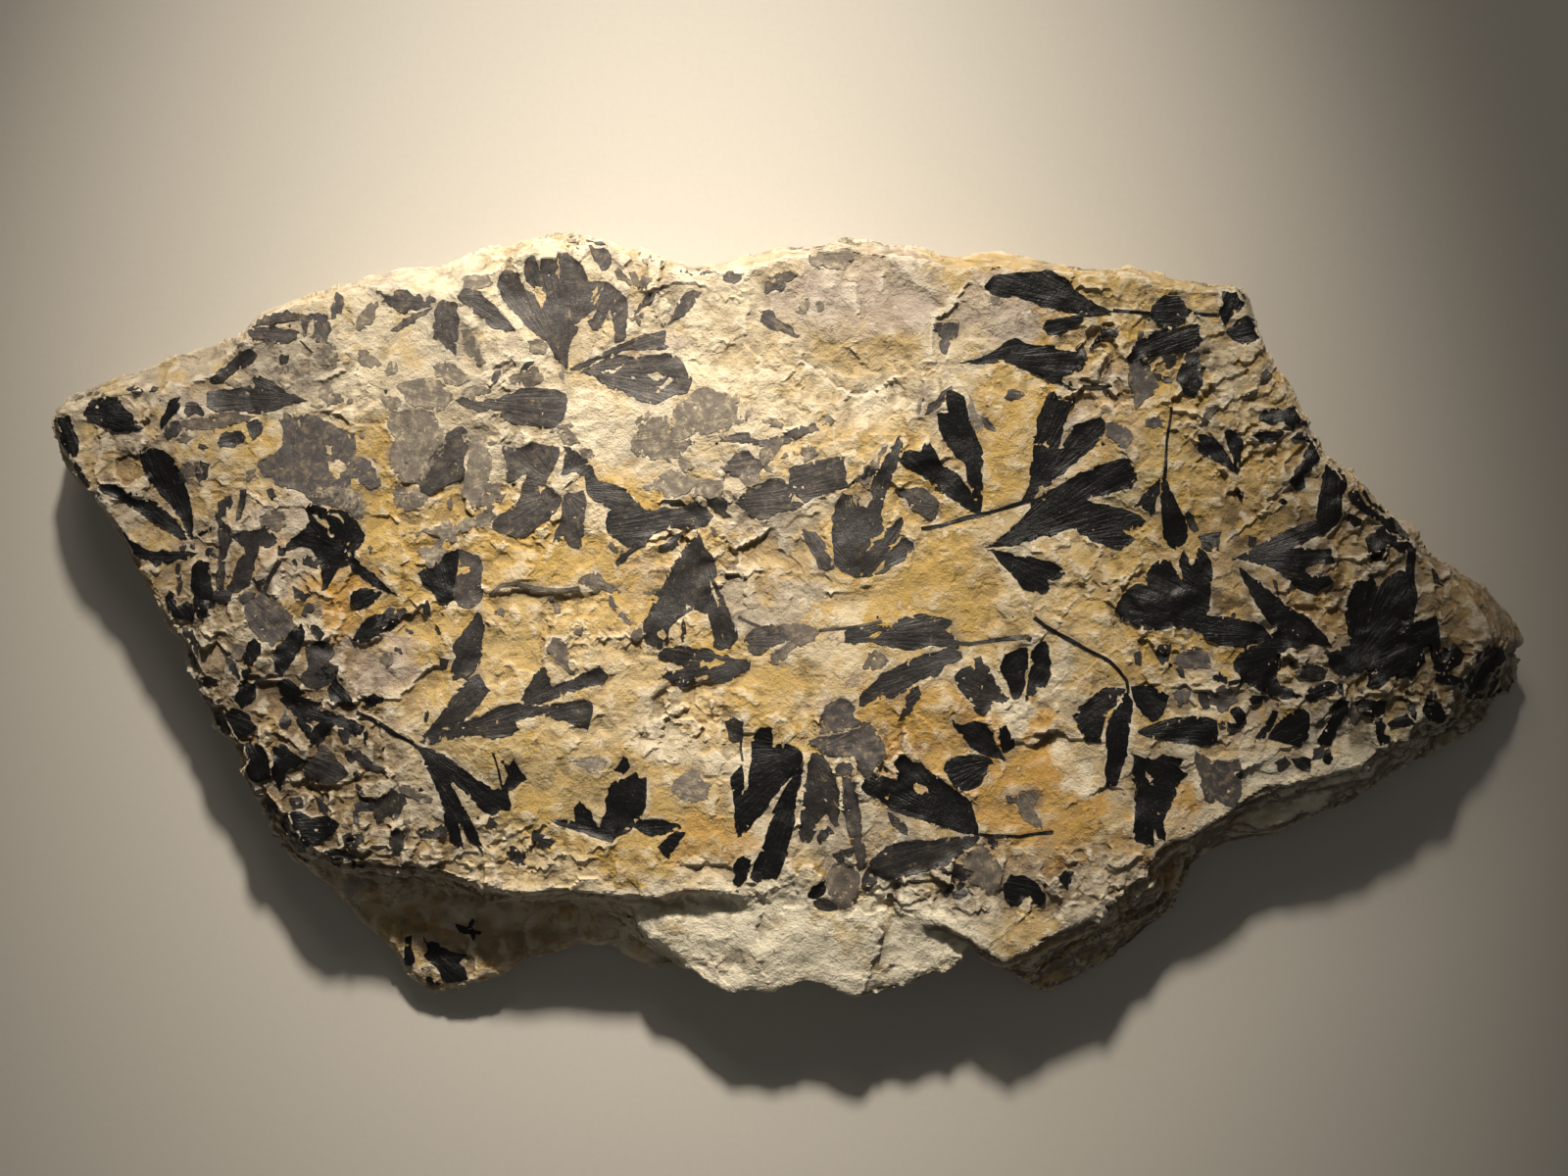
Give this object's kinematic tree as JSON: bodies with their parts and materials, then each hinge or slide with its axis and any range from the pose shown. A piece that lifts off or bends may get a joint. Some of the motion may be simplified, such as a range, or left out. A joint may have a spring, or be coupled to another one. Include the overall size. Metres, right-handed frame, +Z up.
{
  "type": "fossil ginkgo leaf slab",
  "caption": "Broken slab of pale siltstone that lies on its flat back, its upper face crowded with black carbonised ginkgo leaves, with a stepped break along one long edge.",
  "frame": {"origin": "middle of the bounding box, at the flat back that the slab lies on", "axes": "+X along the slab's length, +Y across it towards the bevelled long edge, +Z up out of the leaf face"},
  "size_m": [0.6114, 0.3198, 0.0423],
  "materials": {
    "siltstone": "broken matt stone, buff with ochre stains",
    "leaf_film": "coalified leaf film, black with a faint sheen"
  },
  "bodies": {
    "root": {"fossil_slab": "siltstone"}
  },
  "joints": []
}
